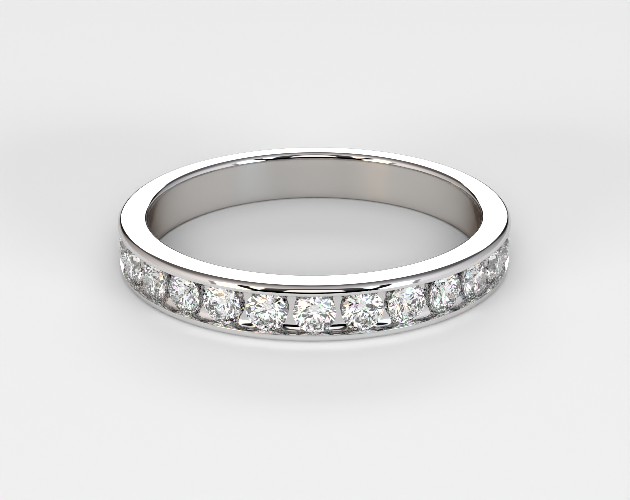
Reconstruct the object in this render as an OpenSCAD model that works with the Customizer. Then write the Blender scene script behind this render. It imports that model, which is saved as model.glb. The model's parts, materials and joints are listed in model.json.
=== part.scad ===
// Channel-set wedding band: a polished metal band with a row of round brilliants let into a channel
// round its front half. It lies on its side, so Z is the axis of the finger hole, the floor is at
// Z = 0 and the middle stone faces -Y. All sizes are in millimetres.

/* [Finger] */
// Inside diameter of the band, which is the finger size
bore_d = 17; // [15:0.1:22]

/* [Band] */
// Width of the band along the finger
band_w = 2.78; // [2.74:0.02:4]
// Thickness of the metal at the sides, from the finger hole to the outside
band_t = 1.55; // [1.5:0.05:2.2]
// How much thicker the front is than the sides, and the back thinner
taper = 0.12; // [0:0.01:0.25]
// Rounding of the two edges beside the finger
inner_round = 0.32; // [0.1:0.02:0.6]
// Rounding of the two outside edges
outer_round = 0.36; // [0.1:0.02:0.36]

/* [Stones] */
// Diameter of each round brilliant
stone_d = 1.97; // [1.7:0.01:1.98]
// Number of stones, with one in the middle of the front
stone_count = 15; // [3:2:15]
// Space between the girdles of two neighbours
stone_gap = 0.25; // [0.1:0.01:0.3]
// How far the tables lie below the band's outside
table_drop = 0.03; // [0.02:0.01:0.06]

/* [Cut of the stones] */
// Width of the table as a share of the diameter
table_share = 0.57; // [0.53:0.01:0.62]
// Slope of the eight large crown facets, in degrees
crown_angle = 34.5; // [32:0.5:36]
// Slope of the eight large pavilion facets, in degrees
pavilion_angle = 40.8; // [40:0.2:41]
// Reach of the star facets from the table's edge towards the girdle, as a share
star_share = 0.5; // [0.45:0.05:0.6]
// Reach of the lower girdle facets from the girdle towards the tip, as a share
lower_share = 0.77; // [0.7:0.01:0.85]
// Height of the girdle where the large facets meet it, as a share of the radius
girdle_share = 0.07; // [0.06:0.01:0.08]

/* [Channel] */
// How far each rail reaches over the stones' girdles
rail_over = 0.02; // [0.01:0.01:0.05]
// Depth of the ledges under the rails, from the band's outside
ledge_depth = 0.67; // [0.6:0.01:0.7]
// Width of each ledge
ledge_w = 0.19; // [0.1:0.01:0.25]
// Clear space between a stone and the metal
fit_gap = 0.02; // [0.01:0.005:0.03]

/* [Hidden] */
bore_r = bore_d / 2;
// Radius of the outside, whose axis is the origin; the finger hole's axis lies behind it by the taper
outer_r = bore_r + band_t;
mid_z = band_w / 2;

// A stone, measured from the middle of its girdle along its own axis
stone_r = stone_d / 2;
girdle_half = girdle_share * stone_r / 2;
table_r = table_share * stone_r;
table_h = girdle_half + (stone_r - table_r) * tan(crown_angle);
culet_h = -girdle_half - stone_r * tan(pavilion_angle);
// Outer tips of the star facets, which lie on the large crown facets' planes
star_r = let (edge_r = table_r * cos(22.5)) edge_r + star_share * (stone_r - edge_r);
star_h = girdle_half + (stone_r - star_r * cos(22.5)) * tan(crown_angle);
// Inner tips of the lower girdle facets, which lie on the large pavilion facets' planes
lower_r = (1 - lower_share) * stone_r;
lower_h = -girdle_half - (stone_r - lower_r * cos(22.5)) * tan(pavilion_angle);

// The row: distance of the girdles' middles from the band's axis, and the angle between neighbours
girdle_at = outer_r - table_drop - table_h;
half_pitch = atan((stone_r + stone_gap / 2) / girdle_at);
pitch = 2 * half_pitch;
channel_end = (stone_count / 2) * pitch;

// The channel's half widths and radii
open_half = stone_r - rail_over;
groove_half = stone_r + fit_gap;
// The facets rise beside the girdle as steeply as 45 degrees, so the groove has that much more room
groove_half_h = girdle_half + rail_over + fit_gap;
ledge_r = outer_r - ledge_depth;
floor_half = open_half - ledge_w;
floor_r = girdle_at + culet_h - fit_gap;
beyond = 1;

function stone_name(k) = str("stone_", k < 10 ? "0" : "", k);

// A point at radius r and height h, turned by angle a
function at(r, a, h) = [r * cos(a), r * sin(a), h];

// Height at point p of the plane through the points a, b and c
function plane_h(a, b, c, p) = let (n = cross(b - a, c - a))
    a.z - (n.x * (p.x - a.x) + n.y * (p.y - a.y)) / n.z;

// One round brilliant with its girdle's middle at the origin and its table facing +Z. Its girdle has
// 32 corners: the even ones meet two or more facets, and the odd ones dip with the facet they lie on.
module brilliant() {
    crown_dip = plane_h(at(star_r, 22.5, star_h), at(stone_r, 0, girdle_half),
        at(stone_r, 22.5, girdle_half), at(stone_r, 11.25, 0));
    lower_rise = plane_h(at(lower_r, 22.5, lower_h), at(stone_r, 0, -girdle_half),
        at(stone_r, 22.5, -girdle_half), at(stone_r, 11.25, 0));
    // First point of each ring, and a function for each ring that wraps its index round
    table0 = 0;
    star0 = 8;
    top0 = 16;
    bottom0 = 48;
    lower0 = 80;
    culet = 88;
    function on8(first, i) = first + (i + 8) % 8;
    function on32(first, i) = first + (i + 32) % 32;
    points = concat(
        [for (i = [0 : 7]) at(table_r, 45 * i, table_h)],
        [for (i = [0 : 7]) at(star_r, 45 * i + 22.5, star_h)],
        [for (i = [0 : 31]) at(stone_r, 11.25 * i, i % 2 == 0 ? girdle_half : crown_dip)],
        [for (i = [0 : 31]) at(stone_r, 11.25 * i, i % 2 == 0 ? -girdle_half : lower_rise)],
        [for (i = [0 : 7]) at(lower_r, 45 * i + 22.5, lower_h)],
        [[0, 0, culet_h]]);
    table = [[for (i = [7 : -1 : 0]) table0 + i]];
    stars = [for (i = [0 : 7]) [on8(table0, i), on8(table0, i + 1), star0 + i]];
    kites = [for (i = [0 : 7]) [table0 + i, star0 + i, top0 + 4 * i, on8(star0, i - 1)]];
    upper_left = [for (i = [0 : 7]) [star0 + i, top0 + 4 * i + 2, top0 + 4 * i + 1, top0 + 4 * i]];
    upper_right = [for (i = [0 : 7])
        [star0 + i, on32(top0, 4 * i + 4), top0 + 4 * i + 3, top0 + 4 * i + 2]];
    girdle = [for (i = [0 : 31])
        [top0 + i, on32(top0, i + 1), on32(bottom0, i + 1), bottom0 + i]];
    lower_left = [for (i = [0 : 7])
        [lower0 + i, bottom0 + 4 * i, bottom0 + 4 * i + 1, bottom0 + 4 * i + 2]];
    lower_right = [for (i = [0 : 7])
        [lower0 + i, bottom0 + 4 * i + 2, bottom0 + 4 * i + 3, on32(bottom0, 4 * i + 4)]];
    mains = [for (i = [0 : 7]) [culet, on8(lower0, i - 1), bottom0 + 4 * i, lower0 + i]];
    polyhedron(points, concat(table, stars, kites, upper_left, upper_right, girdle,
        lower_left, lower_right, mains));
}

// What a rounded corner of radius r takes away from a square one whose corner is at the origin
module corner_waste(r) {
    difference() {
        translate([-beyond, -beyond]) square(r + beyond);
        translate([r, r]) circle(r, $fn = 48);
    }
}

// Half section of the band's outside, as a disc with rounded rims
module disc_section() {
    difference() {
        square([outer_r, band_w]);
        translate([outer_r, 0]) mirror([1, 0]) corner_waste(outer_round);
        translate([outer_r, band_w]) mirror([1, 0]) mirror([0, 1]) corner_waste(outer_round);
    }
}

// Half section of the finger hole, with the flare of its two rounded edges
module hole_section() {
    translate([0, -beyond]) square([bore_r, band_w + 2 * beyond]);
    translate([bore_r, 0]) corner_waste(inner_round);
    translate([bore_r, band_w]) mirror([0, 1]) corner_waste(inner_round);
}

// The channel's section: the floor, and on each side a ledge, the groove for the girdles and a rail
module channel_section() {
    upper = [
        [floor_r, floor_half],
        [ledge_r, floor_half],
        [ledge_r, open_half],
        [girdle_at - groove_half_h, open_half],
        [girdle_at - groove_half_h, groove_half],
        [girdle_at + groove_half_h, groove_half],
        [girdle_at + groove_half_h, open_half],
        [outer_r + beyond, open_half],
    ];
    lower = [for (i = [len(upper) - 1 : -1 : 0]) [upper[i].x, -upper[i].y]];
    polygon(concat(upper, lower));
}

// The band: one solid with the finger hole a little behind its middle and the channel round its front
module band() {
    color("gainsboro") difference() {
        rotate_extrude($fn = 180) disc_section();
        translate([0, taper, 0]) rotate_extrude($fn = 180) hole_section();
        rotate([0, 0, -90 - channel_end]) rotate_extrude(angle = 2 * channel_end, $fn = 180)
            translate([0, mid_z]) channel_section();
    }
}

// Stone number k, counted from the left of the row as seen from the front
module stone(k) {
    from_middle = k - (stone_count + 1) / 2;
    color("aliceblue") rotate([0, 0, from_middle * pitch]) translate([0, -girdle_at, mid_z])
        rotate([90, 0, 0]) brilliant();
}

band();
for (k = [1 : stone_count]) stone(k);
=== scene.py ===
# %% [markdown]
# # A channel-set wedding band
#
# The ring on the bench is a band of polished white metal with a channel milled round its front half.
# Fifteen round brilliants sit in that channel between two rails. On a real ring the setter cuts a seat
# for each stone, lays the stones in a row, and presses the rails over their edges.
#
# The solids were made in a CAD program, so their sizes are fixed. This lesson gives them their finish:
# mirror polish, a satin wall beside the finger, clear stones, and a small studio for the metal to
# reflect.
#
# The first cell loads those solids. Everything is in metres, and the ring lies on its side: Z is the
# axis of the finger hole, the floor is at Z = 0, and the middle stone faces -Y.

# %% Load the solids
import json
import math
from collections import namedtuple

import bmesh
import bpy
from mathutils import Matrix, Vector


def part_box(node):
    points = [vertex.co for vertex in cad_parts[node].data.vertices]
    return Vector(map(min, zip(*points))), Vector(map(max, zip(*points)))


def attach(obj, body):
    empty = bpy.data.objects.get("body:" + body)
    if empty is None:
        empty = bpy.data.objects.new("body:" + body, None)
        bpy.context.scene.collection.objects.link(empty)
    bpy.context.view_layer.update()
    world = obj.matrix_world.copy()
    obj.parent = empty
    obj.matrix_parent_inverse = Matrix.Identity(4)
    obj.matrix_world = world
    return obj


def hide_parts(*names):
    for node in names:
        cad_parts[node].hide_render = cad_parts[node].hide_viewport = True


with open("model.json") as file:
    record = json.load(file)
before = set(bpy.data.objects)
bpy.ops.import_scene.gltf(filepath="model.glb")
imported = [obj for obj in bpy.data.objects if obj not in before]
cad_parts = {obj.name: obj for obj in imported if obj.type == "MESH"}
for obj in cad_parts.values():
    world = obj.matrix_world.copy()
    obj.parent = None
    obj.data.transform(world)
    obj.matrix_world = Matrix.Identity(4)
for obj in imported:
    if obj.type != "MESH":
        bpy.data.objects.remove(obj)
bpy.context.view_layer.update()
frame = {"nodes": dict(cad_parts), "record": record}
MM = 0.001
print("solids:", ", ".join(sorted(frame["nodes"])))

# %% [markdown]
# ## Sizes
#
# A jeweller measures the blank before cutting it. Here the main sizes are read off the solids, so the
# dressed ring fits them whatever finger size they were made for.

# %% Measure the band and the stones
finger_hole = next(mount for mount in frame["record"]["mounts"] if mount["name"] == "finger_hole")
BORE_R = finger_hole["dims"]["r_mm"] * MM
TAPER = finger_hole["pos_m"][1]
band_low, band_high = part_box("band")
OUTER_R = (band_high.x - band_low.x) / 2
WIDTH = band_high.z - band_low.z
MID_Z = WIDTH / 2

STONES = sorted(name for name in frame["nodes"] if name.startswith("stone_"))
middle_stone = frame["nodes"][STONES[len(STONES) // 2]]
stone_low, stone_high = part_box(middle_stone.name)
STONE_R = (stone_high.z - stone_low.z) / 2
girdle_ys = [v.co.y for v in middle_stone.data.vertices if v.co.x > stone_high.x - 0.001 * MM]
GIRDLE_AT = -(min(girdle_ys) + max(girdle_ys)) / 2
GIRDLE_HALF = (max(girdle_ys) - min(girdle_ys)) / 2


def turn_of(name):
    """Angle of a stone round the ring, from the middle of the front towards +X."""
    corners = [v.co for v in frame["nodes"][name].data.vertices]
    centre = sum(corners, Vector()) / len(corners)
    return math.atan2(centre.x, -centre.y)


PITCH = turn_of(STONES[len(STONES) // 2 + 1])
CHANNEL_END = PITCH * len(STONES) / 2
print(f"bore {2 * BORE_R / MM:.2f} mm, outside {2 * OUTER_R / MM:.2f} mm, width {WIDTH / MM:.2f} mm")
print(f"{len(STONES)} stones of {2 * STONE_R / MM:.2f} mm, one every {math.degrees(PITCH):.2f} degrees")

# %% [markdown]
# Some steps are too small for any box to show. The rounded edges, the rail's reach over a stone and the
# gap beside it are those that the solids were cut to. The others are finish work that only this lesson
# does: the inner edge eases into the wall so that no line shows where the polish ends, the rails' lips
# are broken as a polisher leaves them, the bed between the stones is a hollow, and a conical seat lies
# under each stone.

# %% Name the small steps
INNER_ROUND = 0.32 * MM
OUTER_ROUND = 0.36 * MM
RAIL_OVER = 0.02 * MM
FIT_GAP = 0.02 * MM

EASE_R = 1.2 * MM
EASE_TURN = math.radians(10)
SATIN_SHARE_OF_EASE = 0.8
LIP_ROUND = 0.03 * MM
BED_DEPTH = 0.58 * MM
HOLLOW_REACH = 0.45 * MM
SEAT_GAP = 0.045 * MM

OPEN_HALF = STONE_R - RAIL_OVER
GROOVE_HALF = STONE_R + FIT_GAP
GROOVE_R = GIRDLE_AT + GIRDLE_HALF + RAIL_OVER + FIT_GAP
BED_R = OUTER_R - BED_DEPTH
SEAT_SLOPE = (GIRDLE_AT - GIRDLE_HALF + stone_high.y) / STONE_R
print(f"channel: {2 * OPEN_HALF / MM:.2f} mm between the rails and {BED_DEPTH / MM:.2f} mm deep")

# %% [markdown]
# ## Writing node trees as sums
#
# Nodes are quick to lay out by hand and slow to read in a script. Two small helpers keep them short.
# A Wire holds one output socket, and a sum or a product written on wires adds the Math nodes for it.
# A Bench is one node tree, and its only method adds any other kind of node: first its type, then its
# settings, then what goes into its sockets.

# %% Wire and Bench
class Wire:
    """An output socket that takes part in sums."""

    def __init__(self, bench, socket):
        self.bench, self.socket = bench, socket

    def __add__(self, other):
        return calc("ADD", self, other)

    def __sub__(self, other):
        return calc("SUBTRACT", self, other)

    def __rsub__(self, other):
        return calc("SUBTRACT", other, self)

    def __mul__(self, other):
        return calc("MULTIPLY", self, other)

    def __truediv__(self, other):
        return calc("DIVIDE", self, other)

    def __mod__(self, other):
        return calc("FLOORED_MODULO", self, other)

    __radd__ = __add__
    __rmul__ = __mul__


class Bench:
    """A node tree being wired up."""

    def __init__(self, tree):
        self.tree = tree

    def add(self, kind, settings=None, inputs=None, out=0):
        node = self.tree.nodes.new(kind)
        for name, value in (settings or {}).items():
            setattr(node, name, value)
        for key, value in (inputs or {}).items():
            if isinstance(value, Wire):
                self.tree.links.new(value.socket, node.inputs[key])
            else:
                node.inputs[key].default_value = value
        if out == "all":
            return [Wire(self, socket) for socket in node.outputs]
        return Wire(self, node.outputs[out]) if node.outputs else None


def calc(operation, *terms):
    """One Math node on wires and numbers."""
    bench = next(term.bench for term in terms if isinstance(term, Wire))
    return bench.add("ShaderNodeMath", {"operation": operation}, dict(enumerate(terms)))


def split(vector):
    """The three parts of a vector."""
    return vector.bench.add("ShaderNodeSeparateXYZ", None, {0: vector}, "all")


def smooth(x, start, stop, low=0.0, high=1.0):
    """A soft step: low until start, high from stop, and an even curve between."""
    return x.bench.add("ShaderNodeMapRange", {"interpolation_type": "SMOOTHSTEP"}, {
        "Value": x, "From Min": start, "From Max": stop, "To Min": low, "To Max": high})


def within(x, start, stop, soft):
    """1 between start and stop, 0 outside, with edges that take soft to fade."""
    rising = smooth(x, start - soft / 2, start + soft / 2)
    falling = smooth(x, stop - soft / 2, stop + soft / 2, 1.0, 0.0)
    return rising * falling


def lay(under, over, mask):
    """Puts one value over another where the mask is 1."""
    return under + (over - under) * mask


def distance(across, along):
    """How far a point is from the origin of a flat drawing."""
    return calc("SQRT", across * across + along * along)


# %% [markdown]
# ## Camera
#
# The photographer stood a hand's breadth in front of the ring, looked down on it at about 23 degrees
# and used a long lens. The place was found from the ring's own edges, in units of its outer radius.

# %% Set up the camera
PICTURE_W, SENSOR_W = 630, 36.0
CAMERA_DISTANCE = 7.25 * OUTER_R
CAMERA_HEIGHT_ANGLE = math.radians(23.05)
CAMERA_TILT = math.radians(22.74)
CAMERA_ROLL = math.radians(0.31)
FOCAL_PIXELS = 1396.5
CAMERA_SIDE = 0.033 * MM
NEAREST, FARTHEST = 1 * MM, 10.0

camera = bpy.data.objects.new("camera", bpy.data.cameras.new("camera"))
bpy.context.scene.collection.objects.link(camera)
camera.data.sensor_width = SENSOR_W
camera.data.lens = FOCAL_PIXELS * SENSOR_W / PICTURE_W
camera.data.clip_start = NEAREST
camera.data.clip_end = FARTHEST
place = Vector((CAMERA_SIDE, -CAMERA_DISTANCE * math.cos(CAMERA_HEIGHT_ANGLE),
                CAMERA_DISTANCE * math.sin(CAMERA_HEIGHT_ANGLE)))
camera.matrix_world = (Matrix.Translation(place) @ Matrix.Rotation(math.pi / 2 - CAMERA_TILT, 4, "X")
                       @ Matrix.Rotation(-CAMERA_ROLL, 4, "Z"))
bpy.context.scene.camera = camera
print(f"lens {camera.data.lens:.1f} mm, {CAMERA_DISTANCE / MM:.1f} mm from the ring's middle")

# %% [markdown]
# ## Finishes
#
# Polished metal has no colour of its own to paint: it shows the room. What makes it look like metal is
# its slightly warm grey reflectance and a polish that is never perfect, so a fine noise moves the
# roughness up and down a little. Base Color is what the metal sends back when looked at straight on,
# and Specular Tint is how much of the light it keeps sending back at a low angle.

# %% Mirror polish
METAL_COLOUR = (0.72, 0.715, 0.71, 1)
METAL_TINT = (0.83, 0.825, 0.82, 1)
HAZE_SCALE = 900.0
POLISH_ROUGHNESS = (0.015, 0.035)
NOISE_SPREAD = (0.3, 0.7)


def new_material(name):
    material = bpy.data.materials.new(name)
    material.use_nodes = True
    material.node_tree.nodes.clear()
    return material, Bench(material.node_tree)


def finish_material(bench, shader):
    bench.add("ShaderNodeOutputMaterial", None, {"Surface": shader})


def metal_shader(bench, colour, tint, noise, roughness, more=None):
    """Bare metal whose roughness follows a noise from its first value to its second."""
    return bench.add("ShaderNodeBsdfPrincipled", None, {
        "Base Color": colour, "Specular Tint": tint, "Metallic": 1.0,
        "Roughness": smooth(noise, *NOISE_SPREAD, *roughness), **(more or {})})


def polished_metal():
    material, bench = new_material("white_gold_mirror_polish")
    spot = bench.add("ShaderNodeTexCoord", None, None, "Object")
    haze = bench.add("ShaderNodeTexNoise", None, {"Vector": spot, "Scale": HAZE_SCALE, "Detail": 3.0})
    finish_material(bench, metal_shader(bench, METAL_COLOUR, METAL_TINT, haze, POLISH_ROUGHNESS))
    return material


MIRROR = polished_metal()
print("finish:", MIRROR.name, "with", len(MIRROR.node_tree.nodes), "nodes")

# %% [markdown]
# The wall beside the finger is satin. A finisher rubs it along the ring with fine paper, and the lines
# spread the light across themselves, here up and down. So the satin is laid from two parts: a ground
# that is nearly polished, and a share of brushed metal whose highlights are drawn out across the lines.
# Satin is dark at a low angle, as its fine ridges hide each other.

# %% Satin
SATIN_COLOUR = (0.715, 0.69, 0.662, 1)
SATIN_TINT = (0.31, 0.24, 0.20, 1)
LINE_STRETCH = (0.04, 0.04, 1.0)
LINE_SCALE = 30000.0
GROUND_ROUGHNESS = (0.12, 0.16)
BRUSHED_ROUGHNESS = (0.34, 0.38)
BRUSHED_SHARE = 0.23
ACROSS_THE_LINES = 0.25


def satin_metal():
    material, bench = new_material("white_gold_satin")
    spot = bench.add("ShaderNodeTexCoord", None, None, "Object")
    stretched = bench.add("ShaderNodeVectorMath", {"operation": "MULTIPLY"}, {0: spot, 1: LINE_STRETCH})
    lines = bench.add("ShaderNodeTexNoise", None, {
        "Vector": stretched, "Scale": LINE_SCALE, "Detail": 2.0})
    ground = metal_shader(bench, SATIN_COLOUR, SATIN_TINT, lines, GROUND_ROUGHNESS)
    brushed = metal_shader(bench, SATIN_COLOUR, SATIN_TINT, lines, BRUSHED_ROUGHNESS, {
        "Anisotropic": 1.0, "Anisotropic Rotation": ACROSS_THE_LINES})
    satin = bench.add("ShaderNodeMixShader", None, {0: BRUSHED_SHARE, 1: ground, 2: brushed})
    finish_material(bench, satin)
    return material


SATIN = satin_metal()
print("finish:", SATIN.name, "with", len(SATIN.node_tree.nodes), "nodes")

# %% [markdown]
# ## The band, turned on a lathe
#
# A plain band is a section carried round an axis, which is what a lathe does. The section is drawn
# first, as points that each know three things: how far they are from the axis, whether they belong to
# the finger hole (whose axis lies a little behind the middle, so that the wall is thickest under the
# stones), and how high they are. Geometry Nodes then carry the section through any angle.
#
# The edges come first. Beside the finger the round runs out into a second, very flat curve, the ease.
# A polisher leaves the same shape, so that no corner is felt when the ring slides over the knuckle.

# %% Draw the edges
ROUND_STEPS = 12
EASE_STEPS = 5
HOLD = 0.02 * MM


def rounded(centre_r, centre_z, radius, start, steps=ROUND_STEPS):
    """A quarter circle from the angle start, in degrees, where 0 points away from the axis."""
    angles = [math.radians(start + 90 * i / steps) for i in range(steps + 1)]
    return [(centre_r + radius * math.cos(a), centre_z + radius * math.sin(a)) for a in angles]


def hole_edge():
    """The edge beside the finger, from the flat side to the wall, as (distance from the axis, depth)."""
    radius = (INNER_ROUND - EASE_R * (1 - math.cos(EASE_TURN))) / math.cos(EASE_TURN)
    wall_depth = radius + (EASE_R - radius) * math.sin(EASE_TURN)
    turns = [(math.pi / 2 - EASE_TURN) * i / ROUND_STEPS for i in range(ROUND_STEPS + 1)]
    eases = [EASE_TURN * (1 - i / EASE_STEPS) for i in range(1, EASE_STEPS + 1)]
    edge = [(BORE_R + INNER_ROUND - radius * math.sin(t), radius - radius * math.cos(t)) for t in turns]
    edge += [(BORE_R + EASE_R * (1 - math.cos(t)), wall_depth - EASE_R * math.sin(t)) for t in eases]
    return edge + [(BORE_R, wall_depth + HOLD)]


print("edge beside the finger:", len(hole_edge()), "points")

# %% [markdown]
# ### The channel
#
# A channel is milled with straight sides, and its bed is hollowed out between the stones afterwards.
# Half of it is enough to draw, from the middle of the bed up to the lip that holds the stones, because
# the other half mirrors it. The flat of the bed has many points, so that the seats can bend it later.

# %% Draw the channel
HOLLOW_STEPS = 10
BED_STEPS = 14
LIP_STEPS = 3


def channel_half():
    """Half of the channel, from the middle of its bed up to the rail's lip."""
    flat = GROOVE_HALF - HOLLOW_REACH
    rise = GROOVE_R - BED_R
    bed = [(BED_R, flat * i / BED_STEPS) for i in range(BED_STEPS)]
    turns = [math.pi / 2 * i / HOLLOW_STEPS for i in range(HOLLOW_STEPS + 1)]
    hollow = [(GROOVE_R - rise * math.cos(a), flat + HOLLOW_REACH * math.sin(a)) for a in turns]
    lip = rounded(OUTER_R - LIP_ROUND, OPEN_HALF + LIP_ROUND, LIP_ROUND, -90, LIP_STEPS)
    return bed + hollow + [(GROOVE_R, OPEN_HALF)] + lip


print("half of the channel:", len(channel_half()), "points")

# %% [markdown]
# ### The whole section
#
# The front of the ring has the channel in its section and the back hasn't, so there are two sections.
# Between a flat face and a rounded edge lies one more point, very close to the edge, that holds the
# flat face flat: without it the shading of the round would run over the whole face.

# %% Join the section
def band_section(with_channel):
    """The section's points in order as (distance from the axis, 1 at the finger hole, height)."""
    near, far = BORE_R + INNER_ROUND, OUTER_R - OUTER_ROUND
    outside = rounded(far, OUTER_ROUND, OUTER_ROUND, -90) + [(OUTER_R, OUTER_ROUND + HOLD)]
    if with_channel:
        half = channel_half()
        outside += [(r, MID_Z - h) for r, h in reversed(half)] + [(r, MID_Z + h) for r, h in half[1:]]
    else:
        lip = OPEN_HALF + LIP_ROUND
        outside += [(OUTER_R, MID_Z - lip), (OUTER_R, MID_Z + lip)]
    outside += [(OUTER_R, WIDTH - OUTER_ROUND - HOLD)] + rounded(far, WIDTH - OUTER_ROUND, OUTER_ROUND, 0)
    edge = [(near + HOLD, 0)] + hole_edge()
    inside = [(r, WIDTH - depth) for r, depth in edge] + [(r, depth) for r, depth in reversed(edge)]
    outside = [(far - HOLD, 0)] + outside + [(far - HOLD, WIDTH)]
    return [(r, 0, z) for r, z in outside] + [(r, 1, z) for r, z in inside]


for with_channel, title in ((True, "with the channel"), (False, "of the back")):
    print(f"section {title}: {len(band_section(with_channel))} points")

# %% [markdown]
# ### The seats
#
# A stone's lower half is a cone, and so is the seat that the setter's bur cuts for it. Every point of
# the bed asks how far it is from the nearest stone's axis, and sinks to the cone where it would
# otherwise touch the stone. How deep the cone is there depends on the depth that is being looked for,
# so the sum is done three times over, which settles it to about a thousandth of a millimetre.

# %% Cut the seats
SEAT_PASSES = 3
GROOVE_SLACK = 0.001 * MM


def with_seats(radius, at_hole, height, angle, given):
    """The section's distances from the axis, with a seat under each stone."""
    aside = (angle + given["Pitch"] / 2) % given["Pitch"] - given["Pitch"] / 2
    up = calc("ABSOLUTE", height - given["Width"] / 2)
    seat = given["Seat Rim"]
    for _ in range(SEAT_PASSES):
        out = distance(seat * calc("SINE", aside), up)
        cone = given["Seat Rim"] - (given["Seat Radius"] - out) * given["Seat Slope"]
        seat = cone / calc("COSINE", aside)
    under_stone = calc("LESS_THAN", out, given["Seat Radius"]) * (1 - at_hole)
    in_channel = calc("LESS_THAN", radius, given["Groove Radius"] - GROOVE_SLACK)
    return lay(radius, calc("MINIMUM", radius, seat), under_stone * in_channel)


# %% [markdown]
# ### The two finishes
#
# The finisher's paper covers the wall. Upwards it stops within the ease, and downwards it takes in the
# rounded edge next to the table. Everything else is polished. Which finish a face gets follows
# from how far it is from the hole's own axis.

# %% Part the satin from the polish
def with_finishes(solid, position, given):
    """The solid with the polish all over and the satin on the wall beside the finger."""
    x, y, z = split(position)
    reach = distance(x, y - given["Taper"])
    above = calc("GREATER_THAN", z, given["Width"] / 2)
    wall_edge = lay(given["Hole Edge"], given["Satin Edge"], above)
    on_wall = calc("LESS_THAN", reach, given["Hole Radius"] + wall_edge)
    add = solid.bench.add
    real = add("GeometryNodeRealizeInstances", None, {"Geometry": solid})
    metal = add("GeometryNodeSetMaterial", None, {"Geometry": real, "Material": given["Metal"]})
    return add("GeometryNodeSetMaterial", None, {
        "Geometry": metal, "Selection": on_wall, "Material": given["Wall Metal"]})


# %% [markdown]
# ### The lathe itself
#
# The lathe bends a flat grid. The points of the section run across the grid, and the steps of the turn
# run along it. Each point of the grid looks up its point of the section by number and goes there, turned
# by its step. The section ends where it began, so the grid's two long sides are merged into a tube.

# %% Wire the lathe
SEAM_MERGE = 1e-8


def lathe_inputs(bench):
    """Names what the lathe is given, and hands it back as wires."""
    face = bench.tree.interface
    face.new_socket("Section", in_out="INPUT", socket_type="NodeSocketGeometry")
    for name, kind in (("Start", "Float"), ("Sweep", "Float"), ("Steps", "Int"), ("Taper", "Float"),
                       ("Hole Radius", "Float"), ("Hole Edge", "Float"), ("Satin Edge", "Float"),
                       ("Width", "Float"), ("Pitch", "Float"), ("Groove Radius", "Float"),
                       ("Seat Radius", "Float"), ("Seat Rim", "Float"), ("Seat Slope", "Float"),
                       ("Metal", "Material"), ("Wall Metal", "Material")):
        face.new_socket(name, in_out="INPUT", socket_type="NodeSocket" + kind)
    face.new_socket("Solid", in_out="OUTPUT", socket_type="NodeSocketGeometry")
    group = bench.tree.nodes.new("NodeGroupInput")
    return {socket.name: Wire(bench, socket) for socket in group.outputs if socket.name}


def lathe_tree():
    tree = bpy.data.node_groups.new("lathe", "GeometryNodeTree")
    bench = Bench(tree)
    given = lathe_inputs(bench)

    count = bench.add("GeometryNodeAttributeDomainSize", {"component": "MESH"}, {
        "Geometry": given["Section"]})
    across = count + 1
    grid = bench.add("GeometryNodeMeshGrid", None, {"Vertices X": given["Steps"] + 1, "Vertices Y": across})
    index = bench.add("GeometryNodeInputIndex")
    position = bench.add("GeometryNodeInputPosition")
    drawn = bench.add("GeometryNodeSampleIndex", {"data_type": "FLOAT_VECTOR", "domain": "POINT"}, {
        "Geometry": given["Section"], "Value": position, "Index": (index % across) % count})
    radius, at_hole, height = split(drawn)
    angle = given["Start"] + given["Sweep"] * calc("FLOOR", index / across) / given["Steps"]

    radius = with_seats(radius, at_hole, height, angle, given)
    turned = bench.add("ShaderNodeCombineXYZ", None, {
        "X": radius * calc("SINE", angle),
        "Y": given["Taper"] * at_hole - radius * calc("COSINE", angle),
        "Z": height})
    placed = bench.add("GeometryNodeSetPosition", None, {"Geometry": grid, "Position": turned})
    closed = bench.add("GeometryNodeMergeByDistance", None, {"Geometry": placed, "Distance": SEAM_MERGE})
    bench.add("NodeGroupOutput", None, {"Solid": with_finishes(closed, position, given)})
    return tree


LATHE = lathe_tree()
print("the lathe has", len(LATHE.nodes), "nodes")

# %% [markdown]
# The lathe runs twice, once for the front arc with the channel and once for the plain back. It works
# as a modifier on a holder, and only the plain mesh that comes out is kept. The front arc is turned in
# finer steps, because the seats are small.

# %% Turn the two arcs
STEP = math.radians(0.75)
FINE_STEP = math.radians(0.32)


def grow(name, tree, base, values):
    """Runs a Geometry Nodes tree on a base mesh and gives back the plain mesh that it makes."""
    holder = bpy.data.objects.new(name, base)
    bpy.context.scene.collection.objects.link(holder)
    modifier = holder.modifiers.new("tree", "NODES")
    modifier.node_group = tree
    for socket in tree.interface.items_tree:
        if socket.in_out == "INPUT" and socket.name in values:
            modifier[socket.identifier] = values[socket.name]
    grown = holder.evaluated_get(bpy.context.evaluated_depsgraph_get())
    made = bpy.data.meshes.new_from_object(grown)
    bpy.data.objects.remove(holder)
    if made.materials and made.materials[0] is None:
        made.materials.pop(index=0)
    return made


def turned_arc(with_channel, start, sweep):
    section = bpy.data.meshes.new("section")
    section.from_pydata(band_section(with_channel), [], [])
    return grow("blank", LATHE, section, {
        "Start": start, "Sweep": sweep, "Steps": round(sweep / (FINE_STEP if with_channel else STEP)),
        "Taper": TAPER, "Hole Radius": BORE_R, "Hole Edge": INNER_ROUND,
        "Satin Edge": EASE_R * (1 - math.cos(SATIN_SHARE_OF_EASE * EASE_TURN)), "Width": WIDTH,
        "Pitch": PITCH, "Groove Radius": GROOVE_R, "Seat Radius": GROOVE_HALF,
        "Seat Rim": GIRDLE_AT - GIRDLE_HALF - SEAT_GAP, "Seat Slope": SEAT_SLOPE,
        "Metal": MIRROR, "Wall Metal": SATIN})


front_arc = turned_arc(True, -CHANNEL_END, 2 * CHANNEL_END)
back_arc = turned_arc(False, CHANNEL_END, 2 * math.pi - 2 * CHANNEL_END)
print("faces of the front arc:", len(front_arc.polygons), "and of the back:", len(back_arc.polygons))

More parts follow.
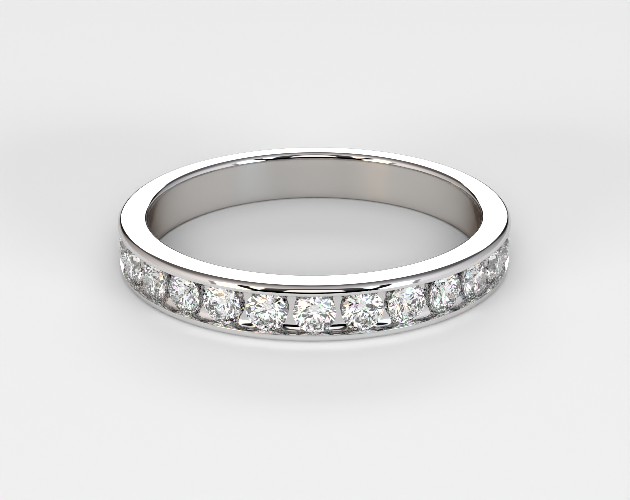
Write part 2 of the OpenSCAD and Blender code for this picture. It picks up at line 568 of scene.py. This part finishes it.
# %% [markdown]
# Where the two arcs meet, the channel needs its end walls. They are flat, so the open edges are simply
# filled. After that the shell is closed, and it can be measured like a real one: by its volume, which
# times the metal's density gives the weight.

# %% Close the band
ROOT = "root"
ARC_MERGE = 1e-7
SHARP_EDGE = math.radians(40)


def show(name, mesh):
    piece = bpy.data.objects.new(name, mesh)
    bpy.context.scene.collection.objects.link(piece)
    return piece


def make_band():
    shell = bmesh.new()
    shell.from_mesh(front_arc)
    shell.from_mesh(back_arc)
    bmesh.ops.remove_doubles(shell, verts=shell.verts, dist=ARC_MERGE)
    open_edges = [edge for edge in shell.edges if edge.is_boundary]
    walls = bmesh.ops.holes_fill(shell, edges=open_edges, sides=0)["faces"]
    bmesh.ops.triangulate(shell, faces=walls)
    bmesh.ops.recalc_face_normals(shell, faces=shell.faces)
    if shell.calc_volume(signed=True) < 0:
        bmesh.ops.reverse_faces(shell, faces=shell.faces)
    gaps = sum(not edge.is_manifold for edge in shell.edges)
    print(f"band: {len(shell.faces)} faces, {gaps} open edges, {shell.calc_volume() / MM ** 3:.2f} mm3")
    mesh = bpy.data.meshes.new("band_metal")
    shell.to_mesh(mesh)
    shell.free()
    mesh.materials.append(MIRROR)
    mesh.materials.append(SATIN)
    mesh.shade_smooth()
    mesh.set_sharp_from_angle(angle=SHARP_EDGE)
    return show("band_metal", mesh)


band_metal = make_band()
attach(band_metal, ROOT)
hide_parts("band")

# %% [markdown]
# ## The stones
#
# The solids of the stones are real brilliants already: a table, eight stars, eight kites, sixteen
# upper and sixteen lower girdle facets and eight mains, all flat. Nothing has to be modelled again.
# They only need to be clear, and to bend light as strongly as diamond does.

# %% Clear stones
DIAMOND_IOR = 2.417
CLEAR = (1, 1, 1, 1)


def diamond():
    material, bench = new_material("diamond")
    shader = bench.add("ShaderNodeBsdfPrincipled", None, {
        "Base Color": CLEAR, "Roughness": 0.0, "IOR": DIAMOND_IOR, "Transmission Weight": 1.0})
    finish_material(bench, shader)
    return material


DIAMOND = diamond()
for name in STONES:
    stone = frame["nodes"][name]
    stone.data.materials.clear()
    stone.data.materials.append(DIAMOND)
print("stone:", len(middle_stone.data.polygons), "triangles,", len(middle_stone.data.materials), "material")

# %% [markdown]
# ## The studio
#
# A mirror shows what stands round it, so the studio is built for its reflection. Directions are all
# that matters, so the room is painted on the world by two angles in degrees: how far round from the
# front a thing stands, and how high above the floor.
#
# Two angles in brackets are a soft edge: where a thing starts to show, and where it is there in full.
# Three numbers are a band: from, to, and how softly it ends. Four are a change: between the first two
# angles a value goes from the third number to the fourth. Levels are how bright a thing is painted.
#
# The quiet parts come first: walls that are dim behind the ring and bright in front, a dark beam across
# the ceiling, and a pale floor.

# %% Paint the walls, the ceiling and the floor
WALL_TURN, WALL_LEVELS = (25, 125), (0.25, 0.9)
BEAM_TURN, BEAM_LEVELS = (45, 130), (0.16, 0.8)
BEAM_EDGE = (36, 50)
CEILING_EDGE, CEILING_LEVEL = (54, 86), 0.46
FLOOR_TURN, FLOOR_LEVELS = (30, 130), (0.54, 0.74)
FLOOR_EDGE = (12, 2)
NEAR_FLOOR_EDGE, NEAR_FLOOR_LEVEL = (-22, -60), 0.85


def room_light(behind, height):
    """The empty room. behind is 0 straight behind the ring and 180 in front."""
    walls = smooth(behind, *WALL_TURN, *WALL_LEVELS)
    beam = smooth(behind, *BEAM_TURN, *BEAM_LEVELS)
    ceiling = lay(beam, CEILING_LEVEL, smooth(height, *CEILING_EDGE))
    far_floor = smooth(behind, *FLOOR_TURN, *FLOOR_LEVELS)
    floor = lay(far_floor, NEAR_FLOOR_LEVEL, smooth(height, *NEAR_FLOOR_EDGE))
    upper = lay(walls, ceiling, smooth(height, *BEAM_EDGE))
    return lay(upper, floor, smooth(height, *FLOOR_EDGE))


# %% [markdown]
# Behind the ring stands a white panel in a black frame, a little wider at the top. The panel makes the
# flat side white. It stops some way above the floor, and the black below and beside it draws the thin
# dark lines along the rounded edges.

# %% Paint the panel behind
WHITE = 1.8
PANEL_SIDE, PANEL_LEAN, PANEL_WIDEST = 20.5, 0.42, 27.0
PANEL_TOP, PANEL_FOOT = (36, 33), (8, 11)
FRAME_WIDTH = 2.5
FRAME_WIDER_LOW, FRAME_WIDER_HIGH = (2, 12, 0, 11), (30, 48, 0, 16)
FRAME_SIDE_EDGE, FRAME_TOP, FRAME_FOOT = (4, -4), (58, 46), (-3, 1)
FRAME_TURN, FRAME_LEVELS = (10, 50), (0.01, 0.11)
CRISP = (1, -1)


def panel_behind(room, behind, height):
    """The room with the white panel and its frame."""
    panel_side = calc("MINIMUM", PANEL_SIDE + PANEL_LEAN * height, PANEL_WIDEST)
    wider = smooth(height, *FRAME_WIDER_LOW) + smooth(height, *FRAME_WIDER_HIGH)
    in_frame = (smooth(behind - (panel_side + FRAME_WIDTH + wider), *FRAME_SIDE_EDGE)
                * smooth(height, *FRAME_TOP) * smooth(height, *FRAME_FOOT))
    in_panel = (smooth(behind - panel_side, *CRISP)
                * smooth(height, *PANEL_TOP) * smooth(height, *PANEL_FOOT))
    framed = lay(room, smooth(height, *FRAME_TURN, *FRAME_LEVELS), in_frame)
    return lay(framed, WHITE, in_panel)


# %% [markdown]
# In front stand two tall strips of light, left and right. Each has a grey shade along its outer side,
# and a dark leg leans across it.

# %% Paint the strips of light
STRIP_INSIDE, STRIP_OUTSIDE = (29, 31), (8, 50, 54, 66)
STRIP_TOP, STRIP_TOP_EDGE, STRIP_FOOT = (46, 54, 57, 50), (2.5, -2.5), (-25, -21)
STRIP_LEVELS = (-10, 2, 1.0, WHITE)
SHADE_ACROSS, SHADE_UP, SHADE_LEVEL = (0.8, 4.5, 1.5), (-6, 34, 10), 0.3
LEG_FOOT, LEG_LEAN = 23, 0.55
LEG_ACROSS, LEG_UP, LEG_LEVEL = (-4.5, 4.5, 2), (14, 53, 3), 0.01


def strips_in_front(room, away, height):
    """The room with the two strips. away is 0 straight in front and 180 behind."""
    outside = smooth(height, *STRIP_OUTSIDE)
    top = smooth(away, *STRIP_TOP)
    in_strip = (smooth(away, *STRIP_INSIDE) * smooth(away - outside, *CRISP)
                * smooth(height - top, *STRIP_TOP_EDGE) * smooth(height, *STRIP_FOOT))
    in_shade = within(away - outside, *SHADE_ACROSS) * within(height, *SHADE_UP)
    in_leg = within(away - LEG_LEAN * height - LEG_FOOT, *LEG_ACROSS) * within(height, *LEG_UP)
    room = lay(room, SHADE_LEVEL, in_shade)
    room = lay(room, smooth(height, *STRIP_LEVELS), in_strip)
    return lay(room, LEG_LEVEL, in_leg)


# %% [markdown]
# Between the strips hangs a softbox with a rounded top in a black surround. A low black board stands
# under it and draws the crisp black line along the band's rounded edge.

# %% Paint the softbox and the board
Arch = namedtuple("Arch", "shoulder rise")
SURROUND, SURROUND_HALF = Arch(50, 23), (42, 50, 31, 36)
SURROUND_EDGE, SURROUND_FOOT = (1.04, 0.98), (11, 14)
SURROUND_LEVELS = (20, 48, 0.01, 0.07)
BOX, BOX_HALF = Arch(42, 15.5), 17
BOX_EDGE, BOX_FOOT, BOX_LEVEL = (1.05, 0.97), (15.5, 18), 1.05
BOARD_SIDE, BOARD_UP, BOARD_LEVEL = (37, 34), (-5, 22, 2), 0.0


def arched(away, height, half_width, arch):
    """1 on the outline of a shape that is straight up to its shoulder and rounded above it."""
    return distance(away / half_width, calc("MAXIMUM", height - arch.shoulder, 0.0) / arch.rise)


def softbox_in_front(room, away, height):
    """The room with the softbox, its surround and the low board."""
    surround = arched(away, height, smooth(height, *SURROUND_HALF), SURROUND)
    box = arched(away, height, BOX_HALF, BOX)
    in_surround = smooth(surround, *SURROUND_EDGE) * smooth(height, *SURROUND_FOOT)
    in_box = smooth(box, *BOX_EDGE) * smooth(height, *BOX_FOOT)
    on_board = smooth(away, *BOARD_SIDE) * within(height, *BOARD_UP)
    room = lay(room, smooth(height, *SURROUND_LEVELS), in_surround)
    room = lay(room, BOX_LEVEL, in_box)
    return lay(room, BOARD_LEVEL, on_board)


# %% [markdown]
# A brilliant gathers its light from far more directions than a mirror does, and it splits white into
# colours on the way. So light that has passed through a stone sees a room of its own: mostly white,
# broken into small cells, of which some are black and a few are tinted.

# %% Cut the light for the stones
SPARKLE_CELLS = 7.0
SPARKLE_LEVEL = 1.5
DARK_SHARE, TINTED_SHARE = 0.36, 0.3
TINT_DEPTH = 0.38


def sparkle(bench, direction):
    chance = bench.add("ShaderNodeTexVoronoi", None, {
        "Vector": direction, "Scale": SPARKLE_CELLS}, "Color")
    dark_chance, hue, tint_chance = split(chance)
    level = lay(SPARKLE_LEVEL, 0.0, calc("LESS_THAN", dark_chance, DARK_SHARE))
    depth = calc("LESS_THAN", tint_chance, TINTED_SHARE) * TINT_DEPTH
    colour = bench.add("ShaderNodeCombineColor", {"mode": "HSV"}, {0: hue, 1: depth, 2: 1.0})
    return bench.add("ShaderNodeBackground", None, {"Color": colour, "Strength": level})


# %% [markdown]
# The light from the left is a little warm and the light from the right a little cool, as daylight and
# lamps often mix. The walls carry only a breath of it and the bright lights in front much more, so it
# shows where the satin wall gathers their light: warm on its right side, cool on its left.

# %% Put the studio on the world
ROOM_LEVEL = 1.19
WARM_ROOM, COOL_ROOM = (1.065, 0.985, 0.95, 1), (1.0, 0.98, 1.02, 1)
WARM_LAMP, COOL_LAMP = (1.38, 1.0, 0.64, 1), (0.72, 0.98, 1.2, 1)
LEFT_TO_RIGHT = (-0.35, 0.35)
UNTINTED_FLOOR = (-25, -5)
LAMP_LIGHT, FRONT_HALF = (1.3, 1.7), (100, 80)


def blend(bench, share, first, second):
    """The first colour at share 0, the second at share 1."""
    return bench.add("ShaderNodeMix", {"data_type": "RGBA"}, {0: share, 6: first, 7: second}, 2)


def studio():
    world = bpy.data.worlds.new("studio")
    world.use_nodes = True
    world.node_tree.nodes.clear()
    bench = Bench(world.node_tree)
    direction = bench.add("ShaderNodeTexCoord", None, None, "Generated")
    x, y, z = split(direction)
    degrees = 180 / math.pi
    height = calc("ARCSINE", z) * degrees
    away = calc("ABSOLUTE", calc("ARCTAN2", x, 0 - y)) * degrees
    behind = 180 - away
    light = panel_behind(room_light(behind, height), behind, height)
    light = softbox_in_front(strips_in_front(light, away, height), away, height)

    from_right = smooth(x * smooth(height, *UNTINTED_FLOOR), *LEFT_TO_RIGHT)
    from_lamp = smooth(light, *LAMP_LIGHT) * smooth(away, *FRONT_HALF)
    room_tint = blend(bench, from_right, WARM_ROOM, COOL_ROOM)
    lamp_tint = blend(bench, from_right, WARM_LAMP, COOL_LAMP)
    tint = blend(bench, from_lamp, room_tint, lamp_tint)
    room = bench.add("ShaderNodeBackground", None, {"Color": tint, "Strength": light * ROOM_LEVEL})
    through = bench.add("ShaderNodeLightPath", None, None, "Is Transmission Ray")
    seen = bench.add("ShaderNodeMixShader", None, {0: through, 1: room, 2: sparkle(bench, direction)})
    bench.add("ShaderNodeOutputWorld", None, {"Surface": seen})
    bpy.context.scene.world = world
    print("the studio has", len(world.node_tree.nodes), "nodes")


studio()

# %% [markdown]
# The painted room is for reflections alone, and lamps light the table. Two low softboxes in front, left
# and right, throw the long pale shadows that fan out behind the ring. Between them hangs a wide one
# with a brighter core, which softens those shadows. A small one behind gives the shadow before the
# ring, and a wide one overhead fills the rest. The metal mirrors the real table, but none of these
# lamps: it has the painted panels instead.
#
# Each softbox is given as a photographer would place it: where it stands round the ring, how high, how
# much of the view from the ring it fills, and how bright its cloth is.

# %% Hang the softboxes
LAMP_DISTANCE = 1.5
Softbox = namedtuple("Softbox", "name around height wide tall brightness")
SOFTBOXES = [
    Softbox("key_left", -43, 6.9, 29, 5.6, 54.5),
    Softbox("key_right", 43, 6.9, 29, 5.6, 62.5),
    Softbox("front", 0, 33.6, 43, 28, 3.1),
    Softbox("front_core", 0, 24, 43, 12, 10.8),
    Softbox("back", 180, 23.6, 38, 9.2, 8.0),
    Softbox("overhead", 0, 90, 90, 90, 0.63),
]


def add_lamp(name, wide, tall, brightness, place, tilt, around):
    """A rectangle of light. With tilt 0 it faces down, and with a quarter turn it faces the ring."""
    light = bpy.data.lights.new(name, "AREA")
    light.shape = "RECTANGLE"
    light.size, light.size_y = wide, tall
    light.energy = brightness * math.pi * wide * tall
    lamp = bpy.data.objects.new(name, light)
    bpy.context.scene.collection.objects.link(lamp)
    lamp.location = place
    lamp.rotation_euler = (tilt, 0, around)
    lamp.visible_camera = lamp.visible_glossy = lamp.visible_transmission = False


def hang(box):
    wide, tall = (2 * LAMP_DISTANCE * math.tan(math.radians(side / 2)) for side in (box.wide, box.tall))
    around, height = math.radians(box.around), math.radians(box.height)
    place = LAMP_DISTANCE * Vector((math.sin(around) * math.cos(height),
                                    -math.cos(around) * math.cos(height), math.sin(height)))
    add_lamp(box.name, wide, tall, box.brightness, place, math.pi / 2 - height, around)
    print(f"{box.name}: {wide * 100:.0f} x {tall * 100:.0f} cm, brightness {box.brightness}")


for box in SOFTBOXES:
    hang(box)
bpy.context.scene.world.cycles_visibility.diffuse = False

# %% [markdown]
# The polished rail throws some of the light that falls on it down to the table at its foot. To follow
# that light would take very long, so a chain of faint strips close to the foot stands for it.

# %% Lay the glow at the foot
GLOW_STRIPS = 7
GLOW_ARC = math.radians(14)
GLOW_R = OUTER_R + 0.25 * MM
GLOW_HEIGHT, GLOW_WIDTH = 0.45 * MM, 0.5 * MM
GLOW_TILT = math.radians(20)
GLOW_BRIGHTNESS, GLOW_FADE = 0.52, 1.6
for number in range(GLOW_STRIPS):
    around = (number - GLOW_STRIPS // 2) * GLOW_ARC
    place = Vector((GLOW_R * math.sin(around), -GLOW_R * math.cos(around), GLOW_HEIGHT))
    fading = GLOW_BRIGHTNESS * math.cos(GLOW_FADE * around)
    add_lamp(f"glow_{number + 1}", GLOW_R * GLOW_ARC, GLOW_WIDTH, fading, place, GLOW_TILT, around)
print(GLOW_STRIPS, "strips of glow over", round(math.degrees(GLOW_STRIPS * GLOW_ARC)), "degrees")

# %% [markdown]
# ## The table
#
# The ring lies on a pale matt table, large enough that its far edge is at the horizon.

# %% Lay the table
TABLE_REACH = 1.4
TABLE_COLOUR = (0.8, 0.8, 0.8, 1)


def table_top():
    material, bench = new_material("table_matt")
    shader = bench.add("ShaderNodeBsdfPrincipled", None, {
        "Base Color": TABLE_COLOUR, "Roughness": 0.9, "Specular IOR Level": 0.1})
    finish_material(bench, shader)
    mesh = bpy.data.meshes.new("table_top")
    corners = [(-1, -1), (1, -1), (1, 1), (-1, 1)]
    mesh.from_pydata([(TABLE_REACH * x, TABLE_REACH * y, 0) for x, y in corners], [], [(0, 1, 2, 3)])
    mesh.materials.append(material)
    return show("table_top", mesh)


table = table_top()

# %% [markdown]
# ## Developing the picture
#
# The plain Standard transform keeps the panel's white as white as it is in the studio, and a narrow
# pixel filter keeps the edges crisp. Light passes many facets before it comes out of a stone, so the
# number of bounces is raised. Light that polished metal and stones would throw on the table is left
# out, because it brings more grain than glow.

# %% Set the exposure
PIXEL_FILTER = 0.65
STONE_BOUNCES, METAL_BOUNCES = 32, 12

scene = bpy.context.scene
scene.view_settings.view_transform = "Standard"
scene.cycles.filter_width = PIXEL_FILTER
scene.cycles.max_bounces = STONE_BOUNCES
scene.cycles.transmission_bounces = STONE_BOUNCES
scene.cycles.glossy_bounces = METAL_BOUNCES
scene.cycles.caustics_reflective = False
scene.cycles.caustics_refractive = False
print("bounces:", STONE_BOUNCES, "in all,", METAL_BOUNCES, "of them glossy")
